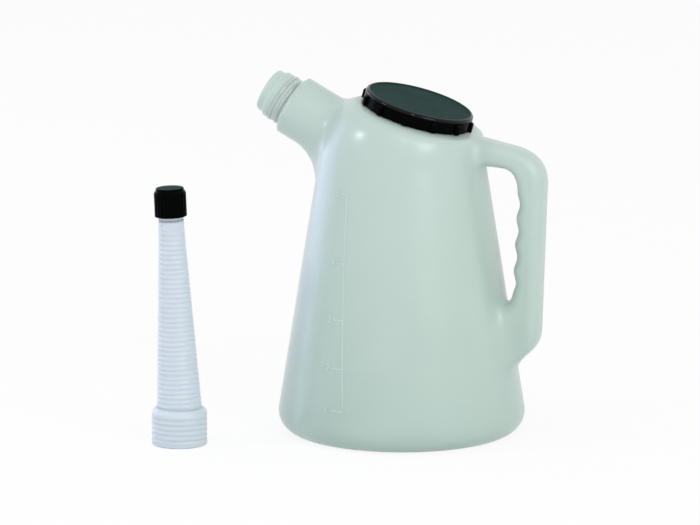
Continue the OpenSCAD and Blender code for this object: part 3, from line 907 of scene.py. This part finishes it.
def collarPart():
    inner, outer = spout["collarInner"], spout["collarInner"] + spout["wall"]
    top = spout["collarHigh"]
    start = spout["footRadius"] - spout["domeIn"]
    foot = [(inner, 0.4), (inner + 0.4, 0), (outer - 1.2, 0), (outer - 0.4, 0.4), (outer, 1.4)]
    bands = [(outer - spout["bandDepth"] * (1 - math.cos(2 * math.pi * h / spout["bandPitch"])) / 2, h)
             for h in np.arange(spout["bandStart"], top - 1, spout["bandStep"])]

    def arc(first, last, thin):
        return [(start - thin + (outer - start) * math.cos(a), top + (spout["dome"] - thin) * math.sin(a))
                for a in np.radians(np.linspace(first, last, spout["domeSteps"]))]

    dome = arc(0, spout["domeTurn"], 0) + arc(spout["domeTurn"], 0, spout["wall"])
    return revolve(foot + bands + dome, collarPlace)


def tubeParts():
    values = {"footRadius": spout["footRadius"], "tipRadius": spout["tipRadius"],
              "length": spout["tubeLong"], "pitch": spout["pitch"], "depth": spout["depth"],
              "plainEnd": spout["plainEnd"], "roundCount": spout["roundCount"],
              "alongCount": int(spout["tubeLong"] / spout["pitch"] * spout["ringSteps"])}
    solid = {"thickness": spout["wall"], "offset": -1.0, "use_rim": True}
    points, faces = bakeTree(corrugatedTree(), values, spoutPlastic, [("SOLIDIFY", solid)])
    points[:, 2] -= spout["sunk"]
    tip, bore = spout["tipRadius"], spout["tipRadius"] - spout["wall"] - spout["tipThin"]
    low, top = spout["tubeLong"] - spout["tipSunk"], spout["tubeLong"] + spout["tipLong"]
    ring = roundCorners([(tip, low, 0), (tip, top, 0.5), (bore, top, 0.4), (bore, low, 0)])
    return [(tubePlace.put(points), faces), revolve(ring, tubePlace, 96)]


addPiece("flexSpout", [collarPart()] + tubeParts(), [spoutPlastic], "jug", ["flex_spout"])


# The spout's cap, with fine grip ribs below a plain band, and the two hidden seals

cap = {"inner": 10.9, "wall": 1.9, "low": 159.8, "under": 181.8, "band": 3.0, "bandIn": 1.0,
       "bandSlope": 0.7, "edge": 0.3, "topEdge": 0.9, "ribCount": 24, "ribOut": 0.5, "ribSunk": 0.8,
       "ribWide": 1.4, "ribSlope": 0.5, "ribRound": 0.35}


def capParts():
    outer, edge = cap["inner"] + cap["wall"], cap["edge"]
    top = cap["under"] + cap["wall"]
    band, bandOuter = top - cap["band"], outer - cap["bandIn"]
    side = roundCorners([(0, cap["under"], 0), (cap["inner"], cap["under"], 0.4),
                         (cap["inner"], cap["low"], edge), (outer, cap["low"], 0.5),
                         (outer, band, edge), (bandOuter, band + cap["bandSlope"], edge),
                         (bandOuter - 0.2, top, cap["topEdge"]), (0, top, 0)], closed=False)
    reach = cap["ribOut"] + cap["ribSunk"]
    values = {"blockCount": cap["ribCount"], "radius": outer - cap["ribSunk"] + reach / 2,
              "width": cap["ribWide"], "depth": reach, "low": cap["low"] + 0.2, "high": band - 0.5,
              "slope": cap["ribSlope"], "phase": 0.0}
    return [revolveDisc(side, tubePlace, 96), blockPart(tubePlace, values, cap["ribRound"], 2)]


def capFinish(centre):
    # Only the flat of the top is satin, with a painted reflection in its colour
    across, side, height = tubePlace.measure(*centre)
    onTop = height > cap["under"] + cap["wall"] - 0.3
    return 1 if onTop and math.hypot(across, side) < cap["inner"] - 0.6 else 0


addPiece("spoutCap", capParts(), [blackGloss, blackSatinPaintedReflection], "spout_cap", ["spout_cap"],
         capFinish)
for node in ("lid_seal", "spout_cap_liner"):
    seal = frame["nodes"][node]
    seal.data.materials.clear()
    seal.data.materials.append(sealRubber)


# Floor, light and camera

studio = {"floorSize": 8.0, "skyDiffuse": 0.72, "floorColour": (0.93, 0.93, 0.93), "floorGlow": 0.88,
          "lampAim": (0, 0, 0.14)}
lamps = {
    "key": {"power": 21.0, "place": (2.0, -1.6, 1.3), "size": 1.1, "colour": (1, 1, 1)},
    "glint": {"power": 4.0, "place": (0.7, -1.7, 1.8), "size": 0.15, "colour": (1, 1, 1)},
    "fill": {"power": 10.0, "place": (-1.9, -1.2, 1.5), "size": 0.25, "colour": (0.9, 0.92, 1.0)},
    "rim": {"power": 12.0, "place": (-1.9, 0.6, 0.4), "size": 1.4, "colour": (0.52, 0.55, 1.0)},
}


def seenDirectly(maker):
    # 1 where the camera sees a surface itself or in a mirror or through clear plastic
    rays = maker.add("ShaderNodeLightPath")
    first = maker.math("MAXIMUM", rays.outputs["Is Camera Ray"], rays.outputs["Is Glossy Ray"])
    return maker.math("MAXIMUM", first, rays.outputs["Is Transmission Ray"])


def makeFloor():
    mesh = bpy.data.meshes.new("floor")
    half = studio["floorSize"] / 2
    corners = [(-half, -half, 0), (half, -half, 0), (half, half, 0), (-half, half, 0)]
    mesh.from_pydata(corners, [], [(0, 1, 2, 3)])
    material, maker = emptyMaterial("paleFloor")
    pale = maker.add("ShaderNodeBsdfDiffuse", None, {"Color": (*studio["floorColour"], 1)})
    glow = maker.add("ShaderNodeEmission", None, {"Color": (1, 1, 1, 1), "Strength": 1.0})
    share = seenDirectly(maker) * studio["floorGlow"]
    both = maker.add("ShaderNodeMixShader", None, {0: share, 1: pale.outputs[0], 2: glow.outputs[0]})
    maker.add("ShaderNodeOutputMaterial", None, {0: both.outputs[0]})
    mesh.materials.append(material)
    floor = bpy.data.objects.new("floor", mesh)
    bpy.context.scene.collection.objects.link(floor)


def makeSky():
    world = bpy.data.worlds.new("studio")
    bpy.context.scene.world = world
    world.use_nodes = True
    world.node_tree.nodes.clear()
    maker = Maker(world.node_tree)
    strength = studio["skyDiffuse"] + seenDirectly(maker) * (1 - studio["skyDiffuse"])
    sky = maker.add("ShaderNodeBackground", None, {"Color": (1, 1, 1, 1), "Strength": strength})
    maker.add("ShaderNodeOutputWorld", None, {0: sky.outputs[0]})


def makeLamp(name, sizes):
    lamp = bpy.data.lights.new(name, "AREA")
    lamp.energy = sizes["power"]
    lamp.size = sizes["size"]
    lamp.color = sizes["colour"]
    holder = bpy.data.objects.new(name, lamp)
    place = Vector(sizes["place"])
    aim = (Vector(studio["lampAim"]) - place).to_track_quat("-Z", "Y")
    holder.matrix_world = Matrix.Translation(place) @ aim.to_matrix().to_4x4()
    bpy.context.scene.collection.objects.link(holder)


# pixel is the size that one pixel of a frameWide picture shows at the jug
view = {"turn": 19.5, "rise": 11.0, "away": 5000, "pixel": 0.832, "aimRight": -43.2, "aimHigh": 142.3,
        "frameWide": 700, "sensor": 36}


def makeCamera():
    turn, rise = math.radians(view["turn"]), math.radians(view["rise"])
    back = Vector((math.sin(turn) * math.cos(rise), -math.cos(turn) * math.cos(rise), math.sin(rise)))
    right = Vector((math.cos(turn), math.sin(turn), 0))
    aim = right * view["aimRight"] + Vector((0, 0, view["aimHigh"]))
    camera = bpy.data.cameras.new("camera")
    camera.sensor_width = view["sensor"]
    camera.lens = view["sensor"] * view["away"] / (view["pixel"] * view["frameWide"])
    camera.clip_start, camera.clip_end = 0.1, 100
    holder = bpy.data.objects.new("camera", camera)
    look = (-back).to_track_quat("-Z", "Y").to_matrix().to_4x4()
    holder.matrix_world = Matrix.Translation((aim + back * view["away"]) * mm) @ look
    bpy.context.scene.collection.objects.link(holder)
    bpy.context.scene.camera = holder


makeFloor()
makeSky()
for lampName, lampSizes in lamps.items():
    makeLamp(lampName, lampSizes)
makeCamera()
bpy.context.scene.view_settings.view_transform = "Standard"
print("studio ready")
